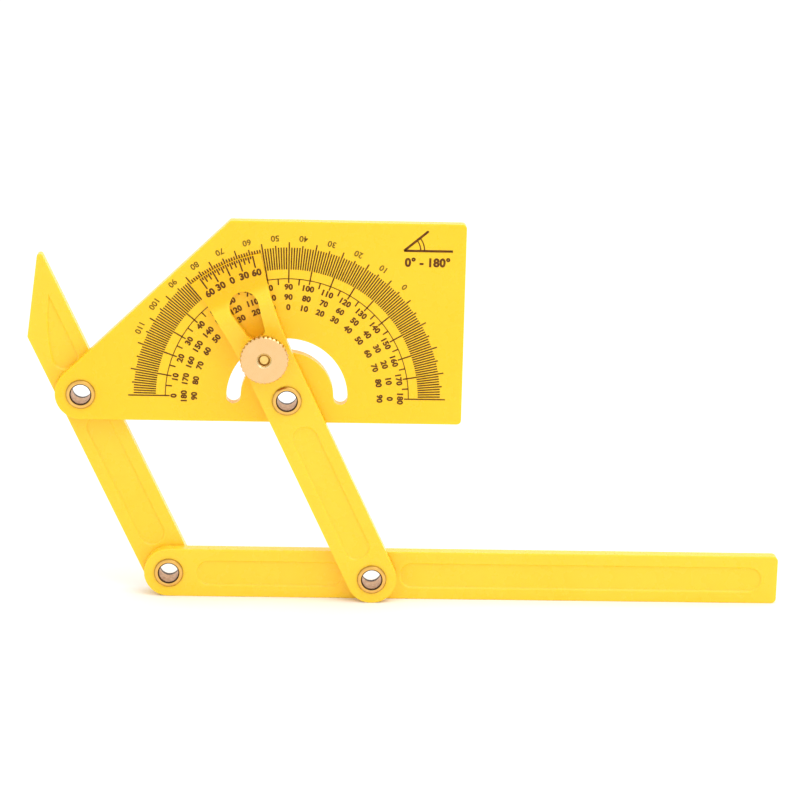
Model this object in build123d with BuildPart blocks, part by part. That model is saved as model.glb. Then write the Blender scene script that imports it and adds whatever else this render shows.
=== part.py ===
"""Protractor sliding bevel: a protractor head, two equal arms and a long blade in a parallelogram.

Units are millimetres. The tool stands upright: +X to the right, +Z up, and its printed front
faces -Y. The origin is the protractor's centre, at the middle of the head's thickness.

The moulded plates lie in three layers. The head and the blade share the middle one, the vernier
arm lies in front of them, and the pointed arm behind them. Four hollow brass eyelets are the
pivots. A brass screw and thumb nut clamp the vernier arm in the head's curved slot.
"""
from build123d import *
from math import asin, atan2, cos, hypot, pi, radians, sin, sqrt
import os

# ---------------------------------------------------------------- driving dimensions
PITCH = 70.0              # distance between the pivots, along the head, the arms and the blade
THICKNESS = 4.5           # every moulded plate
LAYER_GAP = 0.2           # running gap between two layers
ARM_ANGLE = 115.5         # rest angle of both arms, counted from the blade
ARM_WIDTH = 17.0
EDGE_ROUND = 0.25         # small radius on the moulded edges

HEAD_TOP = 60.85          # head outline, from the protractor's centre
HEAD_BOTTOM = -8.8
HEAD_RIGHT = 59.6
HEAD_SLANT_X = -19.75     # where the slanted edge meets the top edge
HEAD_CORNER = 1.5         # radius of the two right-hand corners

SLOT_RADIUS = 18.2        # middle of the clamp slot
SLOT_WIDTH = 4.8

FAN_RADIUS = 50.9         # vernier edge
FAN_HALF_WIDTH = 12.9     # across the fan, at its two outer corners
FAN_START = 14.0          # where the arm begins to widen
VERNIER_THICKNESS = 1.0   # the thin crossbar that carries the vernier
RAMP_START = 32.5         # the legs slope down from here
RAMP_END = 41.5           # to the crossbar's thickness here
WINDOW_ENDS = ((26.6, 3.3), (35.2, 5.0))   # place and radius of its round lower and upper ends
WINDOW_OFFSET = -0.4     # the window lies a little to the right of the arm's line

BLADE_REACH = 211.3       # from the lower left pivot to the blade's square end
BLADE_CORNER = 1.8
BLADE_POCKET_START = 9.4  # from the lower left pivot to the short pocket
BLADE_POCKET_END = 206.0  # to the far end of the long pocket

POINT_REACH = 51.5        # from the upper left pivot to the point, before it is rounded
POINT_SHOULDER = 24.6     # to the corner where the point's slanting cut begins
POINT_ROUND = 1.1
POINT_POCKET_START = 13.0       # centre of the point pocket's round lower end
POINT_POCKET_APEX = 35.2
POINT_POCKET_BELLY = (25.2, 0.9)

POCKET_DEPTH = 0.5        # shallow pockets moulded into both faces
POCKET_WIDTH = 9.2
POCKET_DRAFT = 50.0       # slope of a pocket's sides, from the mould's direction
POCKET_MARGIN = 9.6       # from a pivot to the nearest end of a pocket
VERNIER_POCKET = (-62.0, -10.3)   # ends of the vernier arm's pocket

EYELET_BORE = 3.35        # radii
EYELET_BARREL = 3.75
EYELET_FLANGE = 5.0
EYELET_PROUD = 0.85
EYELET_LIP = 0.5          # the bore opens out over this height at each end
PIVOT_HOLE = 3.8
FLANGE_GAP = 0.03

SCREW_RADIUS = 1.85
SCREW_NECK = 4.2          # side of the square neck that rides in the slot
SCREW_NECK_GAP = 0.3      # the neck ends this far inside the head's front face
SCREW_HOLE = 2.1          # radius of the hole in the vernier arm
SCREW_HEAD_RADIUS = 4.6
SCREW_HEAD_THICKNESS = 1.8
SCREW_HEAD_ROUND = 1.1
SCREW_HEAD_GAP = 0.1      # between the screw's head and the protractor head
SCREW_END_CHAMFER = 0.45
SCREW_RECESS = 1.2        # the screw's end lies this deep in the nut

NUT_RADIUS = 8.2
NUT_RIM = 3.3             # thickness of the knurled rim
NUT_COLLAR = 7.0
NUT_COLLAR_RADIUS = 4.0
NUT_BORE = 1.9
NUT_MOUTH_CHAMFER = 0.7
NUT_RIM_CHAMFER = 0.5
NUT_TEETH = 33
NUT_TOOTH_DEPTH = 0.5
NUT_GAP = 0.05            # between the nut's collar and the vernier arm

CUTTER_MARGIN = 5.0       # how far a cutter runs past the faces that it cuts
DIAGONAL = sqrt(0.5)

# ---------------------------------------------------------------- layers and pivots
ARM_HALF = ARM_WIDTH / 2
FRONT_FACE = THICKNESS / 2                        # front of the head and the blade
BACK_FACE = -THICKNESS / 2
VERNIER_BACK = FRONT_FACE + LAYER_GAP
VERNIER_FRONT = VERNIER_BACK + THICKNESS
POINTED_FRONT = BACK_FACE - LAYER_GAP
POINTED_BACK = POINTED_FRONT - THICKNESS

DROP_X = -PITCH * cos(radians(ARM_ANGLE))
DROP_Z = -PITCH * sin(radians(ARM_ANGLE))
HEAD_LEFT_PIVOT = (-PITCH, 0)
HEAD_PIVOT = (0, 0)
BLADE_LEFT_PIVOT = (-PITCH + DROP_X, DROP_Z)
BLADE_PIVOT = (DROP_X, DROP_Z)


def front_plane(height, pivot=HEAD_PIVOT, angle=0.0):
    """A plane that faces the front, `height` in front of the head's middle.

    Its origin is on the pivot's axis and its X runs at `angle` from the row's +X.
    """
    direction = (cos(radians(angle)), 0, sin(radians(angle)))
    return Plane(origin=(pivot[0], -height, pivot[1]), x_dir=direction, z_dir=(0, -1, 0))


def outer_rims(part, heights):
    """The edges of a plate that lie wholly in one of the given faces."""
    rims = ShapeList()
    for height in heights:
        rims += part.edges().filter_by_position(Axis.Y, -height - 0.001, -height + 0.001)
    return rims


os.makedirs("parts", exist_ok=True)

# ---------------------------------------------------------------- protractor head
slant_angle = atan2(HEAD_TOP, HEAD_SLANT_X + PITCH) - asin(
    -HEAD_BOTTOM / hypot(HEAD_TOP, HEAD_SLANT_X + PITCH)
)
knuckle_radius = -HEAD_BOTTOM
knuckle_end = (
    -PITCH - knuckle_radius * sin(slant_angle),
    knuckle_radius * cos(slant_angle),
)

slot_middle = CenterArc((0, 0), SLOT_RADIUS, 0, 180)

with BuildPart() as protractor_head:
    with BuildSketch(front_plane(BACK_FACE)):
        with BuildLine():
            Polyline(
                (-PITCH, HEAD_BOTTOM),
                (HEAD_RIGHT, HEAD_BOTTOM),
                (HEAD_RIGHT, HEAD_TOP),
                (HEAD_SLANT_X, HEAD_TOP),
                knuckle_end,
            )
            ThreePointArc(knuckle_end, (-PITCH - knuckle_radius, 0), (-PITCH, HEAD_BOTTOM))
        make_face()
    extrude(amount=THICKNESS)
    upright = protractor_head.edges().filter_by(Axis.Y)
    fillet(upright.group_by(Axis.X)[-1], HEAD_CORNER)
    top_left = protractor_head.edges().filter_by(Axis.Y).filter_by_position(
        Axis.X, HEAD_SLANT_X - 0.1, HEAD_SLANT_X + 0.1
    )
    fillet(top_left, HEAD_CORNER / 2)
    fillet(outer_rims(protractor_head, (FRONT_FACE, BACK_FACE)), EDGE_ROUND)
    with BuildSketch(front_plane(BACK_FACE)):
        SlotArc(slot_middle, SLOT_WIDTH)
        with Locations(HEAD_LEFT_PIVOT, HEAD_PIVOT):
            Circle(PIVOT_HOLE)
    extrude(amount=THICKNESS, mode=Mode.SUBTRACT)

protractor_head.part.label = "protractor_head"
export_step(protractor_head.part, "parts/protractor_head.step")


# ---------------------------------------------------------------- shallow pockets
def straight_pocket(height, direction, pivot, angle, start, end):
    """A round-ended pocket cutter along an arm or the blade, in one of its faces."""
    length = end - start
    with BuildPart() as cutter:
        with BuildSketch(front_plane(height, pivot, angle)):
            with Locations(((start + end) / 2, 0)):
                SlotOverall(length, POCKET_WIDTH)
        extrude(amount=direction * POCKET_DEPTH, taper=POCKET_DRAFT)
    return cutter.part


# ---------------------------------------------------------------- long blade
BLADE_POCKETS = (
    (BLADE_POCKET_START, PITCH - POCKET_MARGIN),
    (PITCH + POCKET_MARGIN, BLADE_POCKET_END),
)
blade_cutters = []
for first, last in BLADE_POCKETS:
    blade_cutters.append(straight_pocket(FRONT_FACE, -1, BLADE_LEFT_PIVOT, 0, first, last))
    blade_cutters.append(straight_pocket(BACK_FACE, 1, BLADE_LEFT_PIVOT, 0, first, last))

with BuildPart() as long_blade:
    with BuildSketch(front_plane(BACK_FACE, BLADE_LEFT_PIVOT)):
        with BuildLine():
            Polyline(
                (0, -ARM_HALF),
                (BLADE_REACH, -ARM_HALF),
                (BLADE_REACH, ARM_HALF),
                (0, ARM_HALF),
            )
            ThreePointArc((0, ARM_HALF), (-ARM_HALF, 0), (0, -ARM_HALF))
        make_face()
    extrude(amount=THICKNESS)
    fillet(long_blade.edges().filter_by(Axis.Y).group_by(Axis.X)[-1], BLADE_CORNER)
    fillet(outer_rims(long_blade, (FRONT_FACE, BACK_FACE)), EDGE_ROUND)
    with BuildSketch(front_plane(BACK_FACE, BLADE_LEFT_PIVOT)):
        with Locations((0, 0), (PITCH, 0)):
            Circle(PIVOT_HOLE)
    extrude(amount=THICKNESS, mode=Mode.SUBTRACT)
    add(blade_cutters, mode=Mode.SUBTRACT)

long_blade.part.label = "long_blade"
export_step(long_blade.part, "parts/long_blade.step")

# ---------------------------------------------------------------- pointed arm
# Its X runs up the arm from the head's left pivot, and its Y to the left of that.
def point_pocket(height, direction):
    """The tapering pocket in the pointed end, cut into one face."""
    half = POCKET_WIDTH / 2
    apex = (POINT_POCKET_APEX, -half)
    with BuildPart() as cutter:
        with BuildSketch(front_plane(height, HEAD_LEFT_PIVOT, ARM_ANGLE)):
            with BuildLine():
                Line((POINT_POCKET_START, -half), apex)
                ThreePointArc(apex, POINT_POCKET_BELLY, (POINT_POCKET_START, half))
                ThreePointArc(
                    (POINT_POCKET_START, half),
                    (POINT_POCKET_START - half, 0),
                    (POINT_POCKET_START, -half),
                )
            make_face()
        extrude(amount=direction * POCKET_DEPTH, taper=POCKET_DRAFT)
    return cutter.part


pointed_cutters = [point_pocket(POINTED_FRONT, -1), point_pocket(POINTED_BACK, 1)]
for face_height, inward in ((POINTED_FRONT, -1), (POINTED_BACK, 1)):
    pointed_cutters.append(
        straight_pocket(
            face_height, inward, HEAD_LEFT_PIVOT, ARM_ANGLE, POCKET_MARGIN - PITCH, -POCKET_MARGIN
        )
    )

with BuildPart() as pointed_arm:
    with BuildSketch(front_plane(POINTED_BACK, HEAD_LEFT_PIVOT, ARM_ANGLE)) as pointed_outline:
        with BuildLine():
            Polyline(
                (-PITCH, -ARM_HALF),
                (POINT_REACH, -ARM_HALF),
                (POINT_SHOULDER, ARM_HALF),
                (-PITCH, ARM_HALF),
            )
            ThreePointArc((-PITCH, ARM_HALF), (-PITCH - ARM_HALF, 0), (-PITCH, -ARM_HALF))
        make_face()
        fillet(pointed_outline.vertices().sort_by(Axis.X)[-1], POINT_ROUND)
    extrude(amount=THICKNESS)
    fillet(outer_rims(pointed_arm, (POINTED_FRONT, POINTED_BACK)), EDGE_ROUND)
    with BuildSketch(front_plane(POINTED_BACK, HEAD_LEFT_PIVOT, ARM_ANGLE)):
        with Locations((0, 0), (-PITCH, 0)):
            Circle(PIVOT_HOLE)
    extrude(amount=THICKNESS, mode=Mode.SUBTRACT)
    add(pointed_cutters, mode=Mode.SUBTRACT)

pointed_arm.part.label = "pointed_arm"
export_step(pointed_arm.part, "parts/pointed_arm.step")

# ---------------------------------------------------------------- vernier arm
# Its X runs up the arm from the protractor's centre, and its Y to the left of that.
fan_corner_x = sqrt(FAN_RADIUS**2 - FAN_HALF_WIDTH**2)
vernier_height = VERNIER_BACK + VERNIER_THICKNESS
arm_direction = (cos(radians(ARM_ANGLE)), 0, sin(radians(ARM_ANGLE)))
arm_left = (-sin(radians(ARM_ANGLE)), 0, cos(radians(ARM_ANGLE)))
arm_side = Plane(origin=(0, 0, 0), x_dir=arm_direction, z_dir=arm_left)

vernier_cutters = []
for face_height, inward in ((VERNIER_FRONT, -1), (VERNIER_BACK, 1)):
    vernier_cutters.append(
        straight_pocket(
            face_height, inward, HEAD_PIVOT, ARM_ANGLE, *VERNIER_POCKET
        )
    )

with BuildPart() as vernier_arm:
    with BuildSketch(front_plane(VERNIER_BACK, HEAD_PIVOT, ARM_ANGLE)):
        with BuildLine():
            Line((-PITCH, ARM_HALF), (FAN_START, ARM_HALF))
            TangentArc((FAN_START, ARM_HALF), (fan_corner_x, FAN_HALF_WIDTH), tangent=(1, 0))
            ThreePointArc(
                (fan_corner_x, FAN_HALF_WIDTH), (FAN_RADIUS, 0), (fan_corner_x, -FAN_HALF_WIDTH)
            )
            TangentArc((FAN_START, -ARM_HALF), (fan_corner_x, -FAN_HALF_WIDTH), tangent=(1, 0))
            Line((FAN_START, -ARM_HALF), (-PITCH, -ARM_HALF))
            ThreePointArc((-PITCH, -ARM_HALF), (-PITCH - ARM_HALF, 0), (-PITCH, ARM_HALF))
        make_face()
    extrude(amount=THICKNESS)
    # The legs slope down to the thin crossbar in one smooth curve.
    with BuildSketch(arm_side):
        with BuildLine():
            Spline(
                (RAMP_START, -VERNIER_FRONT), (RAMP_END, -vernier_height),
                tangents=((1, 0), (1, 0)),
            )
            Polyline(
                (RAMP_END, -vernier_height),
                (FAN_RADIUS + CUTTER_MARGIN, -vernier_height),
                (FAN_RADIUS + CUTTER_MARGIN, -VERNIER_FRONT - CUTTER_MARGIN),
                (RAMP_START, -VERNIER_FRONT - CUTTER_MARGIN),
                (RAMP_START, -VERNIER_FRONT),
            )
        make_face()
    extrude(amount=2 * FAN_HALF_WIDTH, both=True, mode=Mode.SUBTRACT)
    with BuildSketch(front_plane(VERNIER_BACK, HEAD_PIVOT, ARM_ANGLE)):
        for place, radius in WINDOW_ENDS:
            with Locations((place, WINDOW_OFFSET)):
                Circle(radius)
        make_hull()
    extrude(amount=THICKNESS, mode=Mode.SUBTRACT)
    with BuildSketch(front_plane(VERNIER_BACK, HEAD_PIVOT, ARM_ANGLE)):
        with Locations((0, 0), (-PITCH, 0)):
            Circle(PIVOT_HOLE)
        with Locations((SLOT_RADIUS, 0)):
            Circle(SCREW_HOLE)
    extrude(amount=THICKNESS, mode=Mode.SUBTRACT)
    add(vernier_cutters, mode=Mode.SUBTRACT)

vernier_arm.part.label = "vernier_arm"
export_step(vernier_arm.part, "parts/vernier_arm.step")


# ---------------------------------------------------------------- eyelets
def hollow_eyelet(pivot, front, back):
    """A hollow rivet through two plates, with a rolled flange on the front and on the back."""
    crown = (EYELET_BORE + EYELET_FLANGE) / 2
    half_bead = (EYELET_FLANGE - EYELET_BORE) / 2
    section = Plane(origin=(pivot[0], 0, pivot[1]), x_dir=(1, 0, 0), z_dir=(0, 0, 1))
    with BuildPart() as eyelet:
        with BuildSketch(section):
            with BuildLine():
                for face, out in ((-front, -1), (-back, 1)):
                    seat = face + out * FLANGE_GAP
                    top = face + out * EYELET_PROUD
                    mouth = top - out * EYELET_LIP
                    Line((EYELET_BARREL, seat), (EYELET_FLANGE, seat))
                    ThreePointArc(
                        (EYELET_FLANGE, seat),
                        (crown + half_bead * DIAGONAL, seat + (top - seat) * DIAGONAL),
                        (crown, top),
                    )
                    ThreePointArc(
                        (crown, top),
                        (crown - half_bead * DIAGONAL, mouth + (top - mouth) * DIAGONAL),
                        (EYELET_BORE, mouth),
                    )
                Line((EYELET_BARREL, -front - FLANGE_GAP), (EYELET_BARREL, -back + FLANGE_GAP))
                Line(
                    (EYELET_BORE, -front - EYELET_PROUD + EYELET_LIP),
                    (EYELET_BORE, -back + EYELET_PROUD - EYELET_LIP),
                )
            make_face()
        revolve(axis=Axis((pivot[0], 0, pivot[1]), (0, 1, 0)))
    return eyelet.part


EYELETS = {
    "eyelet_head_pointed_arm": (HEAD_LEFT_PIVOT, FRONT_FACE, POINTED_BACK),
    "eyelet_head_vernier_arm": (HEAD_PIVOT, VERNIER_FRONT, BACK_FACE),
    "eyelet_blade_pointed_arm": (BLADE_LEFT_PIVOT, FRONT_FACE, POINTED_BACK),
    "eyelet_blade_vernier_arm": (BLADE_PIVOT, VERNIER_FRONT, BACK_FACE),
}
for eyelet_name, (eyelet_pivot, eyelet_front, eyelet_back) in EYELETS.items():
    eyelet_part = hollow_eyelet(eyelet_pivot, eyelet_front, eyelet_back)
    eyelet_part.label = eyelet_name
    export_step(eyelet_part, f"parts/{eyelet_name}.step")

# ---------------------------------------------------------------- clamp screw
screw_pivot = (SLOT_RADIUS * cos(radians(ARM_ANGLE)), SLOT_RADIUS * sin(radians(ARM_ANGLE)))
screw_head_top = BACK_FACE - SCREW_HEAD_GAP
nut_seat = VERNIER_FRONT + NUT_GAP
nut_front = nut_seat + NUT_COLLAR + NUT_RIM

with BuildPart() as clamp_screw:
    with BuildSketch(front_plane(screw_head_top, screw_pivot, ARM_ANGLE)):
        Circle(SCREW_HEAD_RADIUS)
    extrude(amount=-SCREW_HEAD_THICKNESS)
    fillet(clamp_screw.edges().sort_by(Axis.Y)[-1], SCREW_HEAD_ROUND)
    with BuildSketch(front_plane(screw_head_top, screw_pivot, ARM_ANGLE)):
        Rectangle(SCREW_NECK, SCREW_NECK)
    extrude(amount=FRONT_FACE - SCREW_NECK_GAP - screw_head_top)
    with BuildSketch(front_plane(screw_head_top, screw_pivot, ARM_ANGLE)):
        Circle(SCREW_RADIUS)
    extrude(amount=nut_front - SCREW_RECESS - screw_head_top)
    chamfer(clamp_screw.edges().sort_by(Axis.Y)[0], SCREW_END_CHAMFER)

clamp_screw.part.label = "clamp_screw"
export_step(clamp_screw.part, "parts/clamp_screw.step")

# ---------------------------------------------------------------- thumb nut
tooth_angle = 2 * pi / NUT_TEETH
knurl = []
for tooth in range(NUT_TEETH):
    for step, radius in ((0.0, NUT_RADIUS), (0.5, NUT_RADIUS - NUT_TOOTH_DEPTH)):
        turn = (tooth + step) * tooth_angle
        knurl.append((radius * cos(turn), radius * sin(turn)))

nut_section = Plane(
    origin=(screw_pivot[0], 0, screw_pivot[1]), x_dir=(1, 0, 0), z_dir=(0, 0, 1)
)
with BuildPart() as thumb_nut:
    with BuildSketch(front_plane(nut_seat, screw_pivot)):
        Polygon(*knurl, align=None)
    extrude(amount=nut_front - nut_seat)
    with BuildSketch(nut_section):
        with BuildLine():
            Polyline(
                (NUT_BORE, -nut_seat),
                (NUT_COLLAR_RADIUS, -nut_seat),
                (NUT_COLLAR_RADIUS, -nut_seat - NUT_COLLAR),
                (NUT_RADIUS - NUT_RIM_CHAMFER, -nut_seat - NUT_COLLAR),
                (NUT_RADIUS, -nut_seat - NUT_COLLAR - NUT_RIM_CHAMFER),
                (NUT_RADIUS, -nut_front + NUT_RIM_CHAMFER),
                (NUT_RADIUS - NUT_RIM_CHAMFER, -nut_front),
                (NUT_BORE + NUT_MOUTH_CHAMFER, -nut_front),
                (NUT_BORE, -nut_front + NUT_MOUTH_CHAMFER),
                close=True,
            )
        make_face()
    revolve(
        axis=Axis((screw_pivot[0], 0, screw_pivot[1]), (0, 1, 0)), mode=Mode.INTERSECT
    )

thumb_nut.part.label = "thumb_nut"
export_step(thumb_nut.part, "parts/thumb_nut.step")
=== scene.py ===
"""The looks of a protractor bevel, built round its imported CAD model.

Everything is in metres, in the model's own frame: +X to the right and +Z up. The printed front
faces -Y, and the origin is the protractor's centre. A height is measured towards the front.
"""

from math import atan2, ceil, cos, degrees, pi, radians, sin

import bmesh
import bpy
from mathutils import Matrix, Vector


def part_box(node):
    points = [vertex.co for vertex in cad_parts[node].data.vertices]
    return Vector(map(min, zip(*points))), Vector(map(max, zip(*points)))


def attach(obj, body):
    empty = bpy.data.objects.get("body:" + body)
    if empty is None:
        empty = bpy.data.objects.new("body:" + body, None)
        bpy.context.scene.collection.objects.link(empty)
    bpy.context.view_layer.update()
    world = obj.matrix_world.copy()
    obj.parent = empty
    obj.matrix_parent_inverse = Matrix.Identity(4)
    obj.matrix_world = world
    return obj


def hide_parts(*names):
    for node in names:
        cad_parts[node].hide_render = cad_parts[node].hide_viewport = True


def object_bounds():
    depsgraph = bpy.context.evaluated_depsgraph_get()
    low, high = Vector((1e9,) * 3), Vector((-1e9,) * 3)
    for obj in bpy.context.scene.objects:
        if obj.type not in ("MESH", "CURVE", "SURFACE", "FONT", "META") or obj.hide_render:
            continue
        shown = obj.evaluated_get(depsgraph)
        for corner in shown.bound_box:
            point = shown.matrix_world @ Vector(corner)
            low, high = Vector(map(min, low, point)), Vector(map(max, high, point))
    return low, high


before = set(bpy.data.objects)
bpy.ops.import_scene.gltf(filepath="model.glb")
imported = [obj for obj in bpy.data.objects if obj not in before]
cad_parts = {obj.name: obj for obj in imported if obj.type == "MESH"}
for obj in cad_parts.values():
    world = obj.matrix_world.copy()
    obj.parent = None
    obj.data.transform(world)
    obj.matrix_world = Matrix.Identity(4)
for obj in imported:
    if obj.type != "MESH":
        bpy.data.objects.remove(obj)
cad_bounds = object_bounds()

MM = 0.001
SCENE = bpy.context.scene
FLOOR_HEIGHT = cad_bounds[0].z


# ---------------------------------------------------------------- places read from the frame
def centre_of(node):
    """The middle of a CAD node's box."""
    low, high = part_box(node)
    return (low + high) / 2


HEAD_FRONT = -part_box("protractor_head")[0].y
HEAD_BACK = -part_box("protractor_head")[1].y
ARM_FRONT = -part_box("vernier_arm")[0].y
ARM_BACK = -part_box("vernier_arm")[1].y
POINTED_BACK = -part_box("pointed_arm")[1].y

PROTRACTOR_CENTRE = centre_of("eyelet_head_vernier_arm")
BLADE_PIVOT = centre_of("eyelet_blade_vernier_arm")
ARM_LINE = PROTRACTOR_CENTRE - BLADE_PIVOT
ARM_ANGLE = degrees(atan2(ARM_LINE.z, ARM_LINE.x))

CROSSBAR_THICKNESS = 1.0 * MM          # the vernier arm's thin end, which carries the vernier
CROSSBAR_FRONT = ARM_BACK + CROSSBAR_THICKNESS


# ---------------------------------------------------------------- camera
CAMERA_PLACE = Vector((-1.2, -968.3, 255.8)) * MM
CAMERA_YAW = -2.354                    # degrees, as are the pitch and the roll
CAMERA_PITCH = 14.837                  # downwards
CAMERA_ROLL = 1.476
CAMERA_LENS = 132.08
CAMERA_SENSOR = 36.0
CAMERA_NEAR = 0.05
CAMERA_FAR = 50.0


def turn(angle, axis):
    return Matrix.Rotation(radians(angle), 4, axis)


def make_camera():
    data = bpy.data.cameras.new("camera")
    data.lens = CAMERA_LENS
    data.sensor_width = CAMERA_SENSOR
    data.clip_start = CAMERA_NEAR
    data.clip_end = CAMERA_FAR
    camera = bpy.data.objects.new("camera", data)
    camera.matrix_world = (
        Matrix.Translation(CAMERA_PLACE)
        @ turn(CAMERA_YAW, "Z")
        @ turn(90.0 - CAMERA_PITCH, "X")
        @ turn(CAMERA_ROLL, "Z")
    )
    SCENE.collection.objects.link(camera)
    SCENE.camera = camera


# ---------------------------------------------------------------- node helpers
def new_material(name):
    """A material with its Principled shader, ready for more nodes."""
    material = bpy.data.materials.new(name)
    material.use_nodes = True
    shader = material.node_tree.nodes["Principled BSDF"]
    return material, shader


def add_node(material, kind, inputs=None, **settings):
    """A node with its settings and input values. A value may be another node's output."""
    node = material.node_tree.nodes.new(kind)
    for name, value in settings.items():
        setattr(node, name, value)
    for name, value in (inputs or {}).items():
        if isinstance(value, bpy.types.NodeSocket):
            material.node_tree.links.new(value, node.inputs[name])
        else:
            node.inputs[name].default_value = value
    return node


def link(material, output, shader, name):
    material.node_tree.links.new(output, shader.inputs[name])


def object_position(material):
    return add_node(material, "ShaderNodeTexCoord").outputs["Object"]


def noise(material, position, scale, detail=2.0, roughness=0.5):
    """A noise from 0 to 1 whose grains are about 1 / scale metres across."""
    inputs = {"Vector": position, "Scale": scale, "Detail": detail, "Roughness": roughness}
    return add_node(material, "ShaderNodeTexNoise", inputs).outputs["Fac"]


def spread(material, value, low, high, start=0.3, stop=0.7):
    """Maps a value between start and stop to low and high."""
    inputs = {"Value": value, "From Min": start, "From Max": stop, "To Min": low, "To Max": high}
    return add_node(material, "ShaderNodeMapRange", inputs).outputs["Result"]


# a Mix node's sockets, where it mixes colours
MIX_FACTOR, MIX_FIRST, MIX_SECOND, MIX_RESULT = 0, 6, 7, 2


def blend_colours(material, factor, first, second):
    inputs = {MIX_FACTOR: factor, MIX_FIRST: first, MIX_SECOND: second}
    node = add_node(material, "ShaderNodeMix", inputs, data_type="RGBA")
    return node.outputs[MIX_RESULT]


def bump(material, height, depth, strength=1.0, normal=None):
    inputs = {"Height": height, "Distance": depth, "Strength": strength}
    if normal is not None:
        inputs["Normal"] = normal
    return add_node(material, "ShaderNodeBump", inputs).outputs["Normal"]


# ---------------------------------------------------------------- materials
PLASTIC_ROUGHNESS = (0.22, 0.32)
WAVE_DEPTH = 0.08 * MM
SKIN_DEPTH = 0.008 * MM
INK_ROUGHNESS = (0.45, 0.6)
GROOVE_ROUGHNESS = (0.18, 0.28)
GROOVE_DEPTH = 0.012 * MM
PATCH_DEPTH = 0.02 * MM
KNURL_ROUGHNESS = (0.25, 0.4)


def moulded_plastic(name, colour, deeper, recess_shade=None):
    """Smooth glossy ABS: faint flow marks, a fine skin texture and light handling scuffs.

    The optional last argument is (start, end, colour): painted shade, a deeper colour that takes
    over between two Y positions on the faces lying further back.
    """
    material, shader = new_material(name)
    position = object_position(material)
    flow = noise(material, position, scale=38.0, detail=3.0)
    tint = blend_colours(material, spread(material, flow, 0.0, 1.0), colour, deeper)
    # painted shade: the deeper colour on the faces that lie further back
    if recess_shade:
        start, end, shade_colour = recess_shade
        depth = add_node(material, "ShaderNodeSeparateXYZ", {"Vector": position}).outputs["Y"]
        share = spread(material, depth, 0.0, 1.0, start, end)
        tint = blend_colours(material, share, tint, shade_colour)
    link(material, tint, shader, "Base Color")
    smudges = noise(material, position, scale=160.0, detail=4.0, roughness=0.6)
    link(material, spread(material, smudges, *PLASTIC_ROUGHNESS), shader, "Roughness")
    skin = noise(material, position, scale=2600.0, detail=3.0)
    waves = noise(material, position, scale=90.0, detail=1.0)
    rippled = bump(material, waves, WAVE_DEPTH, strength=0.15)
    textured = bump(material, skin, SKIN_DEPTH, strength=0.6, normal=rippled)
    link(material, textured, shader, "Normal")
    shader.inputs["Subsurface Weight"].default_value = 0.3
    shader.inputs["Subsurface Radius"].default_value = (1.0, 0.8, 0.1)
    shader.inputs["Subsurface Scale"].default_value = 2.0 * MM
    shader.inputs["IOR"].default_value = 1.5
    shader.inputs["Specular IOR Level"].default_value = 0.3
    return material


def ink(name, colour, worn):
    """Pad-printed ink, a little thinner in places."""
    material, shader = new_material(name)
    position = object_position(material)
    patches = noise(material, position, scale=700.0, detail=3.0)
    share = spread(material, patches, 0.0, 1.0, start=0.35, stop=0.75)
    link(material, blend_colours(material, share, colour, worn), shader, "Base Color")
    link(material, spread(material, patches, *INK_ROUGHNESS), shader, "Roughness")
    shader.inputs["Specular IOR Level"].default_value = 0.2
    return material


def radius_about(material, centre):
    """How far a point lies from the axis along Y through centre, in metres."""
    position = object_position(material)
    offset = add_node(
        material,
        "ShaderNodeVectorMath",
        {0: position, 1: (centre.x, 0.0, centre.z)},
        operation="SUBTRACT",
    )
    flat = add_node(
        material,
        "ShaderNodeVectorMath",
        {0: offset.outputs["Vector"], 1: (1.0, 0.0, 1.0)},
        operation="MULTIPLY",
    )
    length = add_node(
        material, "ShaderNodeVectorMath", {0: flat.outputs["Vector"]}, operation="LENGTH"
    )
    return length.outputs["Value"]


def turned_brass(name, centre, colour, darker, groove_scale=9000.0, rim=None):
    """Brass with the fine rings that a lathe tool leaves round centre's Y axis.

    rim is (start, end, colour): a darker colour that grows from one radius to the next, painted
    shade and painted reflection of the nearby plastic.
    """
    material, shader = new_material(name)
    radius = radius_about(material, centre)
    rings = add_node(material, "ShaderNodeCombineXYZ", {"X": radius}).outputs["Vector"]
    grooves = noise(material, rings, groove_scale, detail=4.0, roughness=0.65)
    position = object_position(material)
    patina = noise(material, position, scale=420.0, detail=4.0, roughness=0.6)
    tint = blend_colours(material, spread(material, patina, 0.0, 1.0), colour, darker)
    # painted shade and reflection, darker towards the rim
    if rim:
        start, end, rim_shade = rim
        share = spread(material, radius, 0.0, 1.0, start, end)
        tint = blend_colours(material, share, tint, rim_shade)
    link(material, tint, shader, "Base Color")
    link(material, spread(material, grooves, *GROOVE_ROUGHNESS), shader, "Roughness")
    link(material, bump(material, grooves, GROOVE_DEPTH, strength=0.5), shader, "Normal")
    shader.inputs["Metallic"].default_value = 1.0
    return material


def tarnished_brass(name, colour, darker, roughness=(0.35, 0.55)):
    """Brass in uneven patches of its colour and a darker one."""
    material, shader = new_material(name)
    position = object_position(material)
    patches = noise(material, position, scale=900.0, detail=4.0, roughness=0.6)
    tint = blend_colours(material, spread(material, patches, 0.0, 1.0), colour, darker)
    link(material, tint, shader, "Base Color")
    link(material, spread(material, patches, *roughness), shader, "Roughness")
    link(material, bump(material, patches, PATCH_DEPTH, strength=0.4), shader, "Normal")
    shader.inputs["Metallic"].default_value = 1.0
    return material


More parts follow.
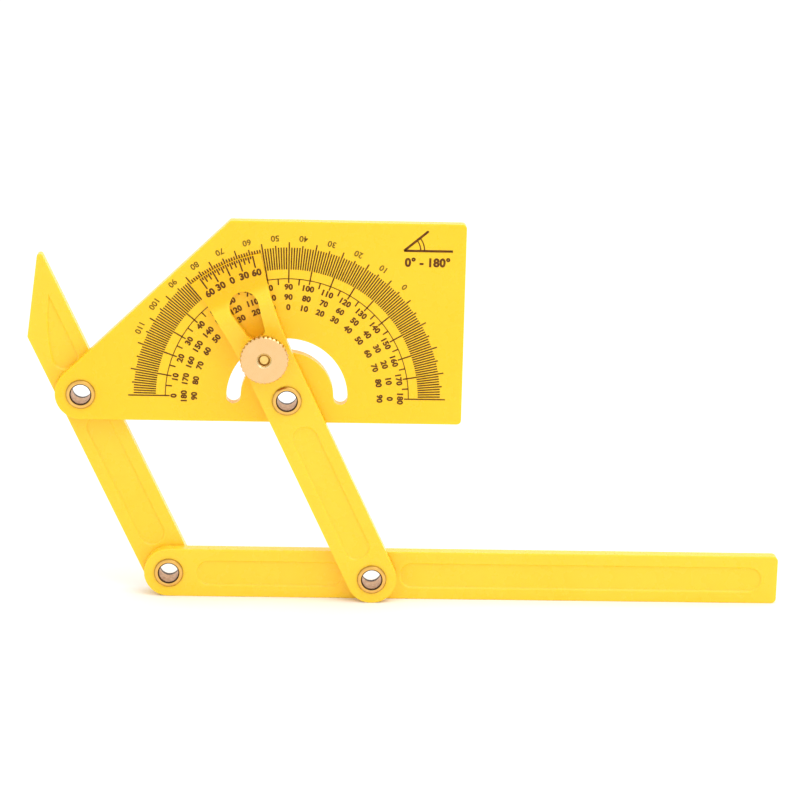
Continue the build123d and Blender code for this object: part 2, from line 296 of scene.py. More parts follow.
def knurled_brass(name, centre, root, crest, colour, root_shade):
    """Brass that is bright on the knurl's crests, with painted shade in its roots."""
    material, shader = new_material(name)
    radius = radius_about(material, centre)
    # painted cavity shade, darkest in the knurl's roots
    painted_cavity_shade = spread(material, radius, 0.0, 1.0, root, crest)
    tint = blend_colours(material, painted_cavity_shade, root_shade, colour)
    link(material, tint, shader, "Base Color")
    specks = noise(material, object_position(material), scale=1500.0, detail=3.0)
    link(material, spread(material, specks, *KNURL_ROUGHNESS), shader, "Roughness")
    shader.inputs["Metallic"].default_value = 1.0
    return material


def floor_surface():
    """Pale matt studio paper with a very faint mottle."""
    material, shader = new_material("studio_floor")
    position = object_position(material)
    mottle = noise(material, position, scale=6.0, detail=2.0)
    tint = blend_colours(
        material, mottle, (0.915, 0.912, 0.91, 1.0), (0.93, 0.928, 0.925, 1.0)
    )
    link(material, tint, shader, "Base Color")
    shader.inputs["Roughness"].default_value = 1.0
    shader.inputs["Specular IOR Level"].default_value = 0.0
    return material


# ---------------------------------------------------------------- mesh helpers
def finish_piece(name, mesh, body, sharp_angle=35.0):
    """Links a finished mesh as a piece that rides on a body."""
    if sharp_angle is not None:
        mesh.shade_smooth()
        mesh.set_sharp_from_angle(angle=radians(sharp_angle))
    piece = bpy.data.objects.new(name, mesh)
    SCENE.collection.objects.link(piece)
    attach(piece, body)
    return piece


def rings_to_mesh(name, rings, materials, closed=False):
    """A skin over rings of equally many points.

    Each ring is (points, material index of the band that follows it). The first and last
    rings are capped, or joined to each other where closed is true.
    """
    mesh_builder = bmesh.new()
    count = len(rings[0][0])
    vertices = [[mesh_builder.verts.new(point) for point in points] for points, _ in rings]
    bands = len(rings) if closed else len(rings) - 1
    for band in range(bands):
        lower = vertices[band]
        upper = vertices[(band + 1) % len(rings)]
        for i in range(count):
            j = (i + 1) % count
            face = mesh_builder.faces.new((lower[i], lower[j], upper[j], upper[i]))
            face.material_index = rings[band][1]
    if not closed:
        for cap in (vertices[0], vertices[-1]):
            face = mesh_builder.faces.new(cap)
            face.material_index = rings[0][1] if cap is vertices[0] else rings[-1][1]
    bmesh.ops.recalc_face_normals(mesh_builder, faces=mesh_builder.faces)
    mesh = bpy.data.meshes.new(name)
    mesh_builder.to_mesh(mesh)
    mesh_builder.free()
    for material in materials:
        mesh.materials.append(material)
    return mesh


def ring(centre, height, radius, count, start=0.0):
    """Points round centre's Y axis. radius is a number or a function of the angle."""
    points = []
    for i in range(count):
        angle = start + 2 * pi * i / count
        reach = radius(angle) if callable(radius) else radius
        points.append((centre.x + reach * cos(angle), -height, centre.z + reach * sin(angle)))
    return points


def quarter(middle, reach, start, steps):
    """Points of (radius, height) on an ellipse quarter that starts at an angle in degrees."""
    points = []
    for i in range(steps + 1):
        angle = radians(start + 90.0 * i / steps)
        points.append((middle[0] + reach[0] * cos(angle), middle[1] + reach[1] * sin(angle)))
    return points


# ---------------------------------------------------------------- eyelets
EYELET_SEGMENTS = 120
EYELET_BORE = 3.35 * MM
EYELET_BARREL = 3.75 * MM
EYELET_OUTER = 5.0 * MM
EYELET_PROUD = 0.85 * MM
EYELET_CROWN = 4.05 * MM               # the flange's highest line
EYELET_RIM_HEIGHT = 0.48 * MM
EYELET_RIM_ROUND = 0.12 * MM
EYELET_MOUTH = 0.33 * MM               # where the rounded mouth runs into the bore
EYELET_SEAT = 0.03 * MM                # the gap under the flange
SHADED_TARNISHED_LIP = 0.42 * MM                   # the dark edge round the bore: tarnish and painted shade
SHADED_TARNISHED_MOUTH = 0.25 * MM                 # how far it reaches into the front of the bore
PAINTED_SHADE_FOOT = 2.0 * MM                   # and into the back: painted shade of the rolled back end
EYELET_RIBS = 22                       # the drawn tube's faint lengthwise ribs
EYELET_WAVES = 7                       # broader waves under them
WAVE_SHARE = 0.6
RIB_DEPTH = 0.045 * MM
FLANGE_STEPS = 8
WALL_STEPS = 6
# the eyelet's parts: bright brass, the bore's edge darkened by tarnish and painted shade, and
# the bore's wall
BRIGHT, SHADED_TARNISHED_EDGE, BORE_WALL = 0, 1, 2


def eyelet_end(face, out):
    """One end of an eyelet, from under its rim to its bore, as (radius, height, part)."""
    corner = (EYELET_OUTER - EYELET_RIM_ROUND, EYELET_RIM_HEIGHT - EYELET_RIM_ROUND)
    profile = [
        (EYELET_BARREL, EYELET_SEAT, BRIGHT),
        (corner[0], EYELET_SEAT, BRIGHT),
        (EYELET_OUTER, EYELET_SEAT + EYELET_RIM_ROUND, BRIGHT),
    ]
    rounded = quarter(corner, (EYELET_RIM_ROUND, EYELET_RIM_ROUND), start=0.0, steps=3)
    profile += [(r, h, BRIGHT) for r, h in rounded]
    for step in range(1, FLANGE_STEPS + 1):
        share = step / FLANGE_STEPS
        r = corner[0] + (EYELET_CROWN - corner[0]) * share
        h = EYELET_RIM_HEIGHT + (EYELET_PROUD - EYELET_RIM_HEIGHT) * sin(share * pi / 2)
        profile.append((r, h, BRIGHT))
    reach = (EYELET_CROWN - EYELET_BORE, EYELET_PROUD - EYELET_MOUTH)
    for r, h in quarter((EYELET_CROWN, EYELET_MOUTH), reach, start=90.0, steps=10)[1:]:
        # the lip into the bore is darkened: tarnish and painted shade
        profile.append((r, h, SHADED_TARNISHED_EDGE if r < EYELET_BORE + SHADED_TARNISHED_LIP else BRIGHT))
    return [(r, face + out * h, part) for r, h, part in profile]


def make_eyelet(node, body, front, back, materials):
    """A hollow eyelet, rolled over at both ends, in place of its CAD node."""
    centre = centre_of(node)
    phase = centre.x / MM
    front_end = eyelet_end(front, 1)
    back_end = eyelet_end(back, -1)

    def ribbed(angle):
        wave = sin(EYELET_RIBS * angle + phase)
        wave += WAVE_SHARE * sin(EYELET_WAVES * angle + 2 * phase)
        return EYELET_BORE + RIB_DEPTH * (wave - 1.0) / 2

    wall_top = front_end[-1][1] - SHADED_TARNISHED_MOUTH
    wall_foot = back_end[-1][1] + PAINTED_SHADE_FOOT
    rings = [(ring(centre, h, r, EYELET_SEGMENTS), part) for r, h, part in front_end]
    # the band into the bore's front is darkened: tarnish and painted shade
    rings[-1] = (rings[-1][0], SHADED_TARNISHED_EDGE)
    for step in range(WALL_STEPS + 1):
        height = wall_top + (wall_foot - wall_top) * step / WALL_STEPS
        # the last band, into the back, is painted shade of the rolled back end
        part = BORE_WALL if step < WALL_STEPS else SHADED_TARNISHED_EDGE
        rings.append((ring(centre, height, ribbed, EYELET_SEGMENTS), part))
    for r, h, part in reversed(back_end):
        rings.append((ring(centre, h, r, EYELET_SEGMENTS), part))
    mesh = rings_to_mesh(node + "_set", rings, materials, closed=True)
    piece = finish_piece(node + "_set", mesh, body)
    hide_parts(node)


# ---------------------------------------------------------------- clamp screw and thumb nut
SCREW_SEGMENTS = 64
THREAD_PITCH = 0.7 * MM
THREAD_DEPTH = 0.32 * MM
RINGS_PER_TURN = 10
SCREW_CREST = 1.85 * MM
SCREW_END_CHAMFER = 0.45 * MM
SCREW_END_FLAT = 0.5                   # the last ring inside the end, against the end's radius
SCREW_HEAD_THICKNESS = 1.8 * MM
SCREW_HEAD_DOME = 1.1 * MM
SCREW_HEAD_FLAT = (0.25, 0.6, 1.0)     # rings on the head's flat, against its edge's radius
SCREW_HEAD_EDGE = 0.15 * MM
NECK_HALF = 2.1 * MM
NECK_CORNER = 1.33                     # how far its broken corners reach, against its half
NECK_CHAMFER = 0.2 * MM
NECK_DEPTH = 0.3 * MM                  # the neck ends this far behind the head's front


def thread_wave(angle, height):
    """The depth of a 60 degree thread, from 0 on its crest to 1 in its root."""
    turns = height / THREAD_PITCH - angle / (2 * pi)
    return abs(2 * (turns % 1.0) - 1.0)


def make_screw(material):
    """The clamp screw: a domed head, a square neck in the slot and a threaded shank."""
    node = "clamp_screw"
    low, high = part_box(node)
    centre = centre_of(node)
    head_radius = (high.x - low.x) / 2
    end = -low.y
    head_back = -high.y
    neck_front = HEAD_FRONT - NECK_DEPTH
    root = SCREW_CREST - THREAD_DEPTH
    seat = head_back + SCREW_HEAD_THICKNESS
    edge = head_radius - SCREW_HEAD_DOME

    def square(angle):
        local = angle - radians(ARM_ANGLE)
        reach = NECK_HALF / max(abs(cos(local)), abs(sin(local)))
        return min(reach, NECK_HALF * NECK_CORNER)

    rings = [(head_back, edge * share) for share in SCREW_HEAD_FLAT]
    dome = (edge, head_back + SCREW_HEAD_DOME)
    reach = (SCREW_HEAD_DOME, SCREW_HEAD_DOME)
    rings += [(h, r) for r, h in quarter(dome, reach, start=270.0, steps=8)[1:]]
    rings += [
        (seat - SCREW_HEAD_EDGE, head_radius),
        (seat, head_radius - SCREW_HEAD_EDGE),
        (seat, square),
        (neck_front - NECK_CHAMFER, square),
        (neck_front, lambda angle: square(angle) - NECK_CHAMFER),
        (neck_front, root),
    ]
    steps = ceil((end - neck_front) / THREAD_PITCH * RINGS_PER_TURN)
    for step in range(1, steps + 1):
        height = neck_front + (end - neck_front) * step / steps
        limit = min(SCREW_CREST, SCREW_CREST - SCREW_END_CHAMFER + (end - height))
        fade = min(1.0, (height - neck_front) / THREAD_PITCH)

        def threaded(angle, height=height, limit=limit, fade=fade):
            cut = root + THREAD_DEPTH * fade * (1.0 - thread_wave(angle, height))
            return min(cut, limit)

        rings.append((height, threaded))
    rings.append((end, (SCREW_CREST - SCREW_END_CHAMFER) * SCREW_END_FLAT))
    start = radians(ARM_ANGLE)
    skins = [(ring(centre, h, r, SCREW_SEGMENTS, start), 0) for h, r in rings]
    mesh = rings_to_mesh("clamp_screw_threaded", skins, [material])
    piece = finish_piece("clamp_screw_threaded", mesh, "vernier_arm", 40.0)
    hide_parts(node)


NUT_TEETH = 33
POINTS_PER_TOOTH = 8
TOOTH_DEPTH = 0.5 * MM
TOOTH_SHARPNESS = 1.6
NUT_COLLAR_HEIGHT = 7.0 * MM
NUT_COLLAR_RADIUS = 4.0 * MM
NUT_COLLAR_ROUND = 0.3 * MM
NUT_FOOT_CHAMFER = 0.2 * MM
NUT_CHAMFER = 0.5 * MM
NUT_CHAMFER_STEPS = 5
NUT_BORE = 1.9 * MM
NUT_THREAD_DEPTH = 0.16 * MM
NUT_MOUTH = 0.7 * MM
NUT_FACE_RINGS = (0.0, 0.12, 0.4, 0.7)   # places from the mouth to the chamfer
# the nut's parts; its front countersink, the mouth, is painted pale as a highlight
FACE, KNURL, HOLE, HIGHLIGHT_MOUTH = 0, 1, 2, 3


def make_nut(materials, centre, crest, low, high):
    """The thumb nut: a knurled rim on a collar, with a countersunk and threaded bore."""
    front = -low.y
    seat = -high.y
    rim_back = seat + NUT_COLLAR_HEIGHT
    mouth_radius = NUT_BORE + NUT_MOUTH
    rim_radius = crest - NUT_CHAMFER

    def tooth(angle):
        """The knurl's radius: rounded crests and narrow roots."""
        share = abs(2 * ((angle * NUT_TEETH / (2 * pi)) % 1.0) - 1.0)
        return crest - TOOTH_DEPTH * (1.0 - share) ** TOOTH_SHARPNESS

    def tooth_within(limit):
        return lambda angle: min(tooth(angle), limit)

    def inner_thread(height):
        return lambda angle: NUT_BORE + NUT_THREAD_DEPTH * thread_wave(angle, height)

    rings = []
    for share in NUT_FACE_RINGS:
        rings.append((front, mouth_radius + (rim_radius - mouth_radius) * share, FACE))
    for step in range(NUT_CHAMFER_STEPS + 1):
        depth = NUT_CHAMFER * step / NUT_CHAMFER_STEPS
        part = FACE if step < NUT_CHAMFER_STEPS else KNURL
        rings.append((front - depth, tooth_within(rim_radius + depth), part))
    rings.append(((front + rim_back) / 2, tooth, KNURL))
    for step in range(NUT_CHAMFER_STEPS + 1):
        depth = NUT_CHAMFER * (1 - step / NUT_CHAMFER_STEPS)
        part = KNURL if step < NUT_CHAMFER_STEPS else FACE
        rings.append((rim_back + depth, tooth_within(rim_radius + depth), part))
    corner = (NUT_COLLAR_RADIUS + NUT_COLLAR_ROUND, rim_back - NUT_COLLAR_ROUND)
    rings.append((rim_back, corner[0], FACE))
    reach = (NUT_COLLAR_ROUND, NUT_COLLAR_ROUND)
    for r, h in quarter(corner, reach, start=90.0, steps=4)[1:]:
        rings.append((h, r, FACE))
    rings.append((seat + NUT_FOOT_CHAMFER, NUT_COLLAR_RADIUS, FACE))
    rings.append((seat, NUT_COLLAR_RADIUS - NUT_FOOT_CHAMFER, FACE))
    rings.append((seat, mouth_radius, HOLE))
    thread_start = seat + NUT_MOUTH
    thread_end = front - NUT_MOUTH
    steps = ceil((thread_end - thread_start) / THREAD_PITCH * RINGS_PER_TURN)
    for step in range(steps + 1):
        height = thread_start + (thread_end - thread_start) * step / steps
        # the last band runs into the countersink, which carries the painted highlight
        rings.append((height, inner_thread(height), HOLE if step < steps else HIGHLIGHT_MOUTH))
    segments = NUT_TEETH * POINTS_PER_TOOTH
    skins = [(ring(centre, h, r, segments), part) for h, r, part in rings]
    mesh = rings_to_mesh("thumb_nut_knurled", skins, materials, closed=True)
    piece = finish_piece("thumb_nut_knurled", mesh, "thumb_nut", 30.0)
    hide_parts("thumb_nut")


# ---------------------------------------------------------------- print
INK_RISE = 0.02 * MM
INK_SINK = 0.01 * MM                   # how far the print reaches into the plastic


class Print:
    """Raised ink on a flat face, laid out in polar form about the protractor's centre."""

    def __init__(self, name, face_height):
        self.name = name
        self.face = face_height
        self.builder = bmesh.new()

    def place(self, x, z, height):
        """A point over the face, from its place about the protractor's centre."""
        return (PROTRACTOR_CENTRE.x + x, -(self.face + height), PROTRACTOR_CENTRE.z + z)

    def prism(self, outline):
        """A thin closed prism over an outline of (x, z)."""
        top = [self.builder.verts.new(self.place(x, z, INK_RISE)) for x, z in outline]
        foot = [self.builder.verts.new(self.place(x, z, -INK_SINK)) for x, z in outline]
        self.builder.faces.new(top)
        self.builder.faces.new(reversed(foot))
        for i in range(len(outline)):
            j = (i + 1) % len(outline)
            self.builder.faces.new((top[i], foot[i], foot[j], top[j]))

    def line(self, start, end, width):
        """A straight stroke."""
        along = (Vector(end) - Vector(start)).normalized()
        side = Vector((-along.y, along.x)) * width / 2
        corners = (
            Vector(start) + side, Vector(start) - side, Vector(end) - side, Vector(end) + side
        )
        self.prism([tuple(corner) for corner in corners])

    def tick(self, angle, inner, outer, width):
        """A stroke along a radius."""
        direction = Vector((cos(radians(angle)), sin(radians(angle))))
        self.line(direction * inner, direction * outer, width)

    def band(self, radius, width, start, end, step, middle=(0.0, 0.0)):
        """An arc drawn as short prisms that share their ends."""
        count = max(1, round((end - start) / step))
        outline = []
        for reach, order in ((radius + width / 2, 1), (radius - width / 2, -1)):
            for i in range(count + 1)[::order]:
                angle = radians(start + (end - start) * i / count)
                outline.append((middle[0] + reach * cos(angle), middle[1] + reach * sin(angle)))
        self.strip(outline, count)

    def strip(self, outline, count):
        """A closed prism over a curved strip, filled with quads."""
        far = outline[: count + 1]
        near = outline[count + 1:][::-1]
        rows = []
        for height in (INK_RISE, -INK_SINK):
            rows.append([self.builder.verts.new(self.place(x, z, height)) for x, z in far])
            rows.append([self.builder.verts.new(self.place(x, z, height)) for x, z in near])
        far_top, near_top, far_foot, near_foot = rows
        for i in range(count):
            j = i + 1
            self.builder.faces.new((far_top[i], near_top[i], near_top[j], far_top[j]))
            self.builder.faces.new((far_foot[j], near_foot[j], near_foot[i], far_foot[i]))
            self.builder.faces.new((far_top[j], far_foot[j], far_foot[i], far_top[i]))
            self.builder.faces.new((near_top[i], near_foot[i], near_foot[j], near_top[j]))
        for i in (0, count):
            self.builder.faces.new((far_top[i], far_foot[i], near_foot[i], near_top[i]))

    def lettering(self, text, height, middle, up_angle, squeeze=1.0, weight=0.0):
        """Text of a cap height, centred on middle, with its top towards up_angle."""
        letters = letter_mesh(text, weight)
        up = Vector((cos(radians(up_angle)), sin(radians(up_angle))))
        right = Vector((up.y, -up.x))
        matrix = Matrix((
            (right.x * squeeze * height, up.x * height, 0.0, 0.0),
            (0.0, 0.0, -(INK_RISE + INK_SINK), 0.0),
            (right.y * squeeze * height, up.y * height, 0.0, 0.0),
            (0.0, 0.0, 0.0, 1.0),
        ))
        x, y, z = self.place(middle[0], middle[1], -INK_SINK)
        matrix.translation = (x, y, z)
        copy = letters.copy()
        copy.transform(matrix)
        self.builder.from_mesh(copy)
        bpy.data.meshes.remove(copy)

    def label(self, text, angle, radius, height, outward, squeeze, weight):
        """Lettering at a polar place, with its top outward or towards the centre."""
        middle = (radius * cos(radians(angle)), radius * sin(radians(angle)))
        up_angle = angle if outward else angle + 180.0
        self.lettering(text, height, middle, up_angle, squeeze, weight)

    def piece(self, material, body):
        """Ends the drawing and links it as one piece."""
        bmesh.ops.recalc_face_normals(self.builder, faces=self.builder.faces)
        mesh = bpy.data.meshes.new(self.name)
        self.builder.to_mesh(mesh)
        self.builder.free()
        mesh.materials.append(material)
        finish_piece(self.name, mesh, body, sharp_angle=None)


LETTERS = {}                           # the texts that are already meshes
LETTER_STEPS = 4                       # on each curve of a letter's outline
LETTER_DEPTH = 0.5
LETTER_MERGE = 0.0005


def letter_mesh(text, weight):
    """A text as a closed mesh, one unit high and one deep, centred on its own middle."""
    if (text, weight) in LETTERS:
        return LETTERS[text, weight]
    curve = bpy.data.curves.new("lettering", "FONT")
    curve.body = text
    curve.align_x = "CENTER"
    curve.resolution_u = LETTER_STEPS
    curve.fill_mode = "BOTH"
    curve.extrude = LETTER_DEPTH
    curve.offset = weight
    curve.space_character = 1.0 + weight
    text_object = bpy.data.objects.new("lettering", curve)
    SCENE.collection.objects.link(text_object)
    bpy.context.view_layer.update()
    evaluated = text_object.evaluated_get(bpy.context.evaluated_depsgraph_get())
    mesh = bpy.data.meshes.new_from_object(evaluated)
    bpy.data.objects.remove(text_object)
    bpy.data.curves.remove(curve)
    builder = bmesh.new()
    builder.from_mesh(mesh)
    bmesh.ops.remove_doubles(builder, verts=builder.verts, dist=LETTER_MERGE)
    builder.to_mesh(mesh)
    builder.free()
    corners = [vertex.co for vertex in mesh.vertices]
    low = Vector([min(corner[axis] for corner in corners) for axis in range(3)])
    high = Vector([max(corner[axis] for corner in corners) for axis in range(3)])
    middle = (low + high) / 2
    tall = high.y - low.y
    mesh.transform(Matrix.Translation((-middle.x, -middle.y, -low.z)))
    mesh.transform(Matrix.Diagonal((1 / tall, 1 / tall, 1 / (high.z - low.z), 1.0)))
    LETTERS[text, weight] = mesh
    return mesh


SCALE_LINE = 0.45 * MM
ARC_LINE = 0.3 * MM
TICK_INNER = 44.5 * MM
TICK_OUTER = 52.05 * MM
FIVE_OUTER = 52.8 * MM
TEN_INNER = 39.85 * MM
TEN_OUTER = 53.85 * MM
ARC_RADIUS = 41.3 * MM
FIVE_INNER = (39.2 * MM, 41.3 * MM)    # the short five-degree ticks inside the arc
DIGIT_HEIGHT = 2.15 * MM
DIGIT_ROWS = (38.5 * MM, 35.0 * MM, 31.5 * MM)
DIGIT_WEIGHT = 0.05                    # how much bolder than the plain font
DIGIT_SQUEEZE = 1.03                   # the width of the digits, against the plain font's
OUTER_RADIUS = 55.2 * MM
OUTER_HEIGHT = 2.1 * MM
OUTER_WEIGHT = 0.02
OUTER_ZERO = 45                        # where the outer numbers start on the protractor
OUTER_LAST = 110


def make_head_print(dark_ink, light_ink):
    """The degree scale, its three rows of numbers and the outer numbers."""
    scale = Print("printed_degree_scale", HEAD_FRONT)
    for degree in range(181):
        if degree % 10 == 0:
            scale.tick(degree, TEN_INNER, TEN_OUTER, SCALE_LINE)
        elif degree % 5 == 0:
            scale.tick(degree, TICK_INNER, FIVE_OUTER, SCALE_LINE)
            scale.tick(degree, *FIVE_INNER, SCALE_LINE)
        else:
            scale.tick(degree, TICK_INNER, TICK_OUTER, SCALE_LINE)
    scale.band(ARC_RADIUS, ARC_LINE, start=0.0, end=180.0, step=2.0)
    scale.piece(dark_ink, "protractor")

    numbers = Print("printed_numbers", HEAD_FRONT)
    for degree in range(0, 181, 10):
        for value, radius in zip((180 - degree, degree, abs(90 - degree)), DIGIT_ROWS):
            numbers.label(
                str(value), degree, radius, DIGIT_HEIGHT, True, DIGIT_SQUEEZE, DIGIT_WEIGHT
            )
    numbers.piece(dark_ink, "protractor")

    outer = Print("printed_outer_numbers", HEAD_FRONT)
    for value in range(0, OUTER_LAST + 1, 10):
        outer.label(
            str(value), OUTER_ZERO + value, OUTER_RADIUS, OUTER_HEIGHT, False,
            DIGIT_SQUEEZE, OUTER_WEIGHT,
        )
    outer.piece(light_ink, "protractor")


SIGN_MIDDLE = (46.6 * MM, 51.6 * MM)
SIGN_HALF = 8.0 * MM
SIGN_ANGLE = 40.0
SIGN_LEGS = ((0.0, 16.5 * MM), (SIGN_ANGLE, 10.6 * MM))    # each leg's angle and length
SIGN_LINE = 0.8 * MM
SIGN_ARCS = (5.6 * MM, 6.9 * MM)
SIGN_ARC_LINE = 0.4 * MM
SIGN_ARC_GAP = 3.0                     # degrees between an arc's ends and the legs
SIGN_ARC_STEP = 4.0
SIGN_TEXT = "0° - 180°"
SIGN_TEXT_HEIGHT = 3.3 * MM
SIGN_TEXT_DROP = 3.9 * MM
SIGN_TEXT_WEIGHT = 0.045
UPRIGHT = 90.0


def make_angle_sign(dark_ink):
    """A plain angle symbol with its range below, in the head's upper right corner."""
    sign = Print("printed_angle_sign", HEAD_FRONT)
    x, z = SIGN_MIDDLE
    vertex = Vector((x - SIGN_HALF, z))
    for angle, reach in SIGN_LEGS:
        direction = Vector((cos(radians(angle)), sin(radians(angle))))
        sign.line(tuple(vertex), tuple(vertex + direction * reach), SIGN_LINE)
    for radius in SIGN_ARCS:
        sign.band(
            radius, SIGN_ARC_LINE, SIGN_ARC_GAP, SIGN_ANGLE - SIGN_ARC_GAP, SIGN_ARC_STEP,
            tuple(vertex),
        )
    sign.lettering(
        SIGN_TEXT, SIGN_TEXT_HEIGHT, (x, z - SIGN_TEXT_DROP), UPRIGHT, weight=SIGN_TEXT_WEIGHT
    )
    sign.piece(dark_ink, "protractor")


VERNIER_STEP = 11 / 12                 # degrees, for five minutes of arc against the scale
VERNIER_DIVISIONS = 12
VERNIER_LABEL_EVERY = 6
VERNIER_LONGER_EVERY = 2
VERNIER_SKEW = -0.5                    # degrees, its zero line against the arm's line
VERNIER_LINE = 0.5 * MM
VERNIER_OUTER = 50.75 * MM
VERNIER_LONG = 46.5 * MM
VERNIER_MIDDLE = 48.4 * MM
VERNIER_SHORT = 49.7 * MM
VERNIER_LABEL_RADIUS = 44.9 * MM
VERNIER_LABEL_HEIGHT = 2.5 * MM
MINUTES_PER_DIVISION = 5


def make_vernier_print(dark_ink):
    """The vernier, an hour of arc each way from its zero line."""
    vernier = Print("printed_vernier", CROSSBAR_FRONT)
    for division in range(-VERNIER_DIVISIONS, VERNIER_DIVISIONS + 1):
        angle = ARM_ANGLE + VERNIER_SKEW + division * VERNIER_STEP
        if division % VERNIER_LABEL_EVERY == 0:
            inner = VERNIER_LONG
            vernier.label(
                str(abs(division) * MINUTES_PER_DIVISION), angle, VERNIER_LABEL_RADIUS,
                VERNIER_LABEL_HEIGHT, True, DIGIT_SQUEEZE, DIGIT_WEIGHT,
            )
        elif division % VERNIER_LONGER_EVERY == 0:
            inner = VERNIER_MIDDLE
        else:
            inner = VERNIER_SHORT
        vernier.tick(angle, inner, VERNIER_OUTER, VERNIER_LINE)
    vernier.piece(dark_ink, "vernier_arm")


# ---------------------------------------------------------------- studio
FLOOR_HALF = 8.0
FLOOR_CELLS = 8
WORLD_STRENGTH = 1.12
KEY_PLACE = (0.68, -0.4, 1.38)
KEY_SIZE = 1.6
KEY_POWER = 10.5


def make_floor():
    builder = bmesh.new()
    bmesh.ops.create_grid(
        builder, x_segments=FLOOR_CELLS, y_segments=FLOOR_CELLS, size=FLOOR_HALF
    )
    mesh = bpy.data.meshes.new("floor")
    builder.to_mesh(mesh)
    builder.free()
    mesh.materials.append(floor_surface())
    floor = bpy.data.objects.new("floor", mesh)
    floor.location = (0.0, 0.0, FLOOR_HEIGHT)
    SCENE.collection.objects.link(floor)


def area_light(name, place, target, size, power):
    """A round soft light at place that shines on target."""
    data = bpy.data.lights.new(name, "AREA")
    data.shape = "DISK"
    data.size = size
    data.energy = power
    light = bpy.data.objects.new(name, data)
    light.location = place
    light.rotation_euler = (Vector(target) - Vector(place)).to_track_quat("-Z", "Y").to_euler()
    SCENE.collection.objects.link(light)


def make_studio():
    """An even white room, one large soft light and the floor."""
    world = bpy.data.worlds.new("studio")
    world.use_nodes = True
    background = world.node_tree.nodes["Background"]
    background.inputs["Color"].default_value = (1.0, 1.0, 1.0, 1.0)
    background.inputs["Strength"].default_value = WORLD_STRENGTH
    SCENE.world = world
    middle = (cad_bounds[0] + cad_bounds[1]) / 2
    area_light("key", KEY_PLACE, middle, KEY_SIZE, KEY_POWER)
    make_floor()
    SCENE.view_settings.view_transform = "Standard"


# ---------------------------------------------------------------- the object
# Each colour comes as a pair: the main one, and the one it drifts to in patches.
# the head's yellow is a little deeper than the arms': painted shade
HEAD_SHADED_YELLOW = ((0.96, 0.585, 0.020, 1.0), (0.95, 0.57, 0.015, 1.0))
ARM_YELLOW = ((0.96, 0.61, 0.038, 1.0), (0.95, 0.595, 0.030, 1.0))
# deeper yellow painted on the recessed crossbar as shade
CROSSBAR_PAINTED_SHADE = (0.95, 0.50, 0.004, 1.0)
CROSSBAR_SHADE_FADE = (-5.2 * MM, -3.8 * MM)   # the Y range over which the painted crossbar shade takes over
DARK_INK = ((0.085, 0.024, 0.0005, 1.0), (0.17, 0.058, 0.002, 1.0))
OLIVE_INK = ((0.12, 0.055, 0.001, 1.0), (0.24, 0.13, 0.002, 1.0))
EYELET_BRASS = ((0.82, 0.50, 0.14, 1.0), (0.76, 0.43, 0.10, 1.0))
EYELET_GROOVES = 6000.0
# the flange darkened towards its outer edge: painted contact shade and painted reflection of the
# yellow plastic
EYELET_RIM_PAINTED_SHADE = (4.55 * MM, EYELET_OUTER, (0.36, 0.16, 0.008, 1.0))
# the bore's dark edge: tarnish and painted shade
EYELET_EDGE_SHADE_AND_TARNISH = ((0.10, 0.05, 0.02, 1.0), (0.05, 0.022, 0.008, 1.0))
EYELET_WALL = ((0.80, 0.49, 0.27, 1.0), (0.60, 0.33, 0.16, 1.0))
SCREW_BRASS = ((0.90, 0.66, 0.22, 1.0), (0.78, 0.52, 0.16, 1.0))
NUT_BRASS = ((0.80, 0.52, 0.25, 1.0), (0.77, 0.49, 0.22, 1.0))
NUT_HOLE = ((0.80, 0.55, 0.28, 1.0), (0.55, 0.34, 0.14, 1.0))
# a pale brass painted on the countersink as a highlight
NUT_MOUTH_PAINTED_HIGHLIGHT = ((0.96, 0.86, 0.62, 1.0), (0.92, 0.78, 0.50, 1.0))
NUT_MOUTH_ROUGHNESS = (0.22, 0.32)
KNURL_CREST = (0.90, 0.66, 0.30, 1.0)
# dark brass painted in the knurl's roots as shade
KNURL_ROOT_PAINTED_SHADE = (0.10, 0.045, 0.012, 1.0)
KNURL_UNSHADED = 0.1 * MM                # how far below its crest the knurl is free of the painted root shade


def paint(node, material):
    """Gives a CAD node its material."""
    for material_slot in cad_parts[node].material_slots:
        material_slot.material = material


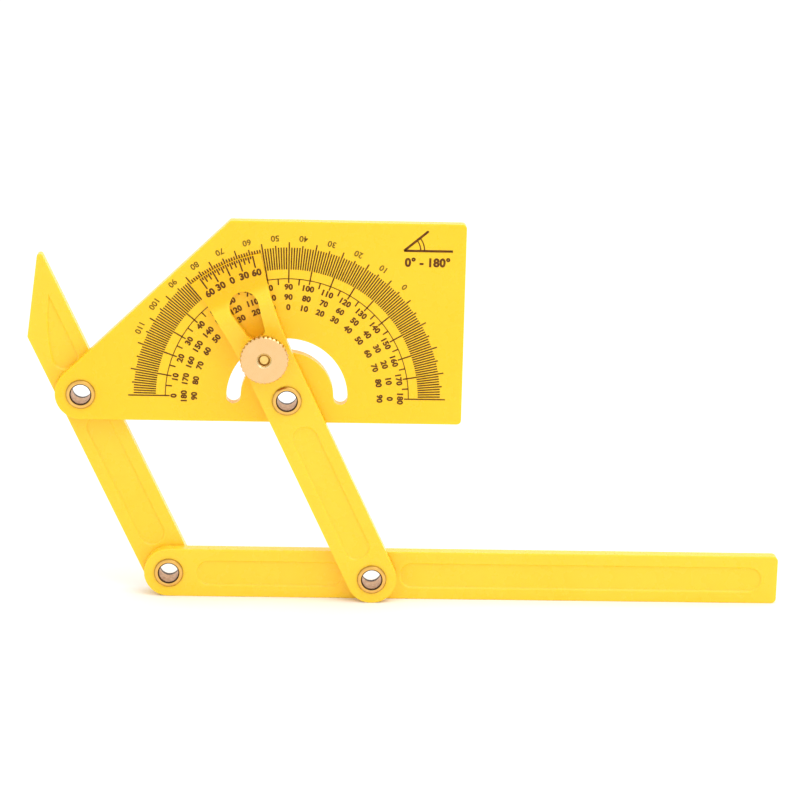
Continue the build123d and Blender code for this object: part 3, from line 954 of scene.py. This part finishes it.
def make_brass_pieces():
    # dark brass for the bores' edges: tarnish and painted shade
    edge = tarnished_brass("eyelet_edge_shade_and_tarnish", *EYELET_EDGE_SHADE_AND_TARNISH)
    wall = tarnished_brass("eyelet_wall", *EYELET_WALL)
    layers = {
        "eyelet_head_pointed_arm": ("protractor", HEAD_FRONT, POINTED_BACK),
        "eyelet_head_vernier_arm": ("protractor", ARM_FRONT, HEAD_BACK),
        "eyelet_blade_pointed_arm": ("blade", HEAD_FRONT, POINTED_BACK),
        "eyelet_blade_vernier_arm": ("vernier_arm", ARM_FRONT, HEAD_BACK),
    }
    for node, (body, front, back) in layers.items():
        bright = turned_brass(
            node + "_brass", centre_of(node), *EYELET_BRASS, EYELET_GROOVES, EYELET_RIM_PAINTED_SHADE
        )
        make_eyelet(node, body, front, back, [bright, edge, wall])

    make_screw(tarnished_brass("screw_brass", *SCREW_BRASS))

    low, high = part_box("thumb_nut")
    centre = centre_of("thumb_nut")
    crest = (high.x - low.x) / 2
    face = turned_brass("nut_face", centre, *NUT_BRASS)
    knurl = knurled_brass(
        "nut_knurl_root_shade", centre, crest - TOOTH_DEPTH, crest - KNURL_UNSHADED, KNURL_CREST, KNURL_ROOT_PAINTED_SHADE
    )
    hole = tarnished_brass("nut_hole", *NUT_HOLE)
    painted_highlight_mouth = tarnished_brass("nut_mouth_painted_highlight", *NUT_MOUTH_PAINTED_HIGHLIGHT, NUT_MOUTH_ROUGHNESS)
    make_nut([face, knurl, hole, painted_highlight_mouth], centre, crest, low, high)


make_camera()
make_studio()

# the head's deeper yellow is painted shade
head_plastic = moulded_plastic("yellow_head_shaded", *HEAD_SHADED_YELLOW)
arm_plastic = moulded_plastic("yellow_arms", *ARM_YELLOW)
# the vernier arm's crossbar gets painted shade
vernier_plastic_shaded_crossbar = moulded_plastic(
    "yellow_vernier_arm_shaded_crossbar", *ARM_YELLOW, recess_shade=(*CROSSBAR_SHADE_FADE, CROSSBAR_PAINTED_SHADE)
)
paint("protractor_head", head_plastic)
for plate in ("long_blade", "pointed_arm"):
    paint(plate, arm_plastic)
paint("vernier_arm", vernier_plastic_shaded_crossbar)

make_brass_pieces()

brown_ink = ink("brown_ink", *DARK_INK)
olive_ink = ink("olive_ink", *OLIVE_INK)
make_head_print(brown_ink, olive_ink)
make_angle_sign(brown_ink)
make_vernier_print(brown_ink)
